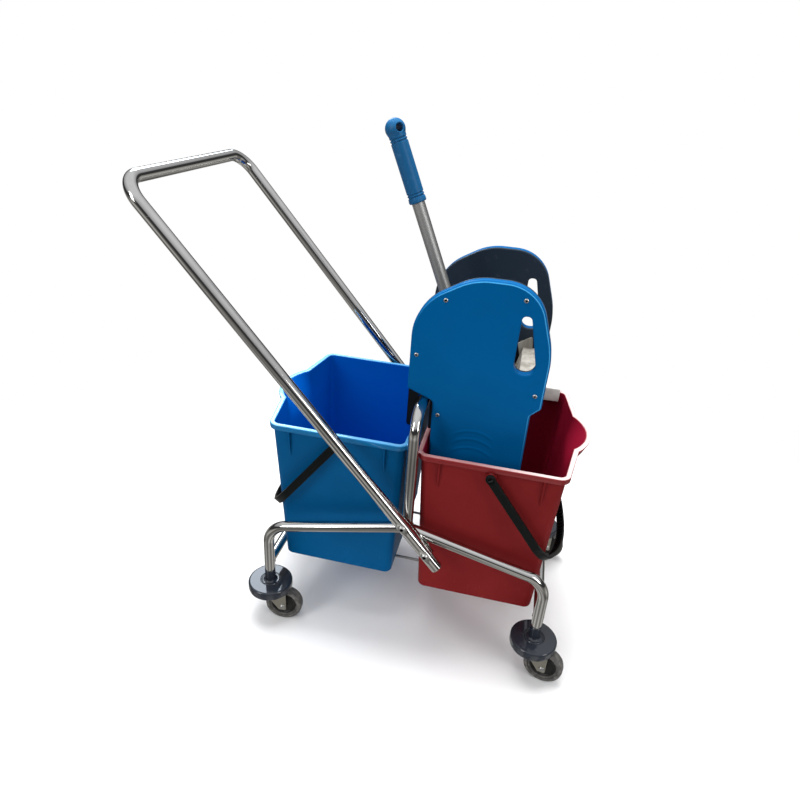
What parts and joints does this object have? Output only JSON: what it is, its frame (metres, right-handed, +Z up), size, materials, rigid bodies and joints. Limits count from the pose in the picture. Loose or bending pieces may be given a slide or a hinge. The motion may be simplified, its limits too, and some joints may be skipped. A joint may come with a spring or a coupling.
{
  "type": "double mop bucket trolley",
  "caption": "Tube-framed trolley on swivel castors carrying a blue and a red mop bucket with bails, a sloping push handle and a lever-operated press wringer.",
  "frame": {"origin": "on the floor, in the middle of the overall length and width", "axes": "+X along the trolley from the push handle towards the wringer end, +Y across it to the far side, +Z up"},
  "size_m": [0.8686, 0.474, 1.0249],
  "materials": {
    "chrome": "bright chromed steel tube",
    "rod_steel": "plated steel wire",
    "fasteners": "zinc plated",
    "zinc_steel": "zinc plated",
    "fork_steel": "zinc plated pressed sheet",
    "bumper_plastic": "dark slate, slightly glossy",
    "hub_plastic": "black moulding",
    "tyre": "grey-brown rubber",
    "blue_plastic": "moulded blue, satin gloss",
    "cover_plastic": "moulded blue, satin gloss",
    "red_plastic": "moulded red, satin gloss",
    "black_plastic": "black moulding",
    "white_plastic": "off-white moulding",
    "aluminium": "drawn tube, satin"
  },
  "bodies": {
    "chassis": {"near_side_tube": "chrome", "far_side_tube": "chrome", "arch_tube": "chrome", "rear_cross_tube": "chrome", "front_cross_tube": "chrome", "near_bucket_rod": "rod_steel", "far_bucket_rod": "rod_steel", "push_handle": "chrome", "near_handle_plate": "chrome", "far_handle_plate": "chrome", "handle_bolts": "fasteners", "handle_nuts": "fasteners", "bumper_1": "bumper_plastic", "bumper_2": "bumper_plastic", "bumper_3": "bumper_plastic", "bumper_4": "bumper_plastic", "castor_stem_1": "zinc_steel", "castor_stem_2": "zinc_steel", "castor_stem_3": "zinc_steel", "castor_stem_4": "zinc_steel", "blue_bucket": "blue_plastic", "red_bucket": "red_plastic", "rim_clip": "white_plastic"},
    "castor_1": {"castor_fork_1": "fork_steel", "wheel_axle_1": "zinc_steel"},
    "wheel_1": {"wheel_hub_1": "hub_plastic", "tyre_1": "tyre"},
    "castor_2": {"castor_fork_2": "fork_steel", "wheel_axle_2": "zinc_steel"},
    "wheel_2": {"wheel_hub_2": "hub_plastic", "tyre_2": "tyre"},
    "castor_3": {"castor_fork_3": "fork_steel", "wheel_axle_3": "zinc_steel"},
    "wheel_3": {"wheel_hub_3": "hub_plastic", "tyre_3": "tyre"},
    "castor_4": {"castor_fork_4": "fork_steel", "wheel_axle_4": "zinc_steel"},
    "wheel_4": {"wheel_hub_4": "hub_plastic", "tyre_4": "tyre"},
    "blue_bail": {"blue_bail": "black_plastic"},
    "red_bail": {"red_bail": "black_plastic"},
    "wringer": {"near_cover": "cover_plastic", "far_cover": "cover_plastic", "near_shell": "black_plastic", "far_shell": "black_plastic", "cover_screws": "fasteners", "fixed_jaw": "white_plastic", "tie_bars": "rod_steel", "axle_bushes": "zinc_steel"},
    "lever": {"lever_axle": "zinc_steel", "axle_clips": "zinc_steel", "lever_socket": "black_plastic", "lever_tube": "aluminium", "lever_grip": "cover_plastic", "moving_jaw": "black_plastic", "return_spring": "rod_steel"}
  },
  "joints": [
    {"name": "near_rear_swivel", "type": "hinge", "parent": "chassis", "child": "castor_1", "pos_m": [-0.20375, -0.19, 0.083], "axis": [0, 0, 1], "continuous": true},
    {"name": "near_rear_roll", "type": "hinge", "parent": "castor_1", "child": "wheel_1", "pos_m": [-0.17391, -0.18686, 0.04], "axis": [-0.1045, 0.9945, 0], "continuous": true},
    {"name": "near_front_swivel", "type": "hinge", "parent": "chassis", "child": "castor_2", "pos_m": [0.36425, -0.19, 0.083], "axis": [0, 0, 1], "continuous": true},
    {"name": "near_front_roll", "type": "hinge", "parent": "castor_2", "child": "wheel_2", "pos_m": [0.3936, -0.19624, 0.04], "axis": [0.2079, 0.9781, 0], "continuous": true},
    {"name": "far_rear_swivel", "type": "hinge", "parent": "chassis", "child": "castor_3", "pos_m": [-0.20375, 0.19, 0.083], "axis": [0, 0, 1], "continuous": true},
    {"name": "far_rear_roll", "type": "hinge", "parent": "castor_3", "child": "wheel_3", "pos_m": [-0.1742, 0.18479, 0.04], "axis": [0.1736, 0.9848, 0], "continuous": true},
    {"name": "far_front_swivel", "type": "hinge", "parent": "chassis", "child": "castor_4", "pos_m": [0.36425, 0.19, 0.083], "axis": [0, 0, 1], "continuous": true},
    {"name": "far_front_roll", "type": "hinge", "parent": "castor_4", "child": "wheel_4", "pos_m": [0.39426, 0.19, 0.04], "axis": [0, 1, 0], "continuous": true},
    {"name": "blue_bail_swing", "type": "hinge", "parent": "chassis", "child": "blue_bail", "pos_m": [-0.06724, 0.009, 0.4593], "axis": [0, 1, 0], "range_deg": [0, 110]},
    {"name": "red_bail_swing", "type": "hinge", "parent": "chassis", "child": "red_bail", "pos_m": [0.23025, -0.007, 0.4593], "axis": [0, -1, 0], "range_deg": [0, 120]},
    {"name": "wringer_lift", "type": "slide", "parent": "chassis", "child": "wringer", "axis": [0, 0, 1], "range_m": [0, 0.12]},
    {"name": "lever_press", "type": "hinge", "parent": "wringer", "child": "lever", "pos_m": [0.12926, 0, 0.64], "axis": [0, -1, 0], "range_deg": [0, 40], "stiffness_Nm_per_rad": 1, "springref_deg": -34.38, "deforming": ["return_spring"]}
  ]
}
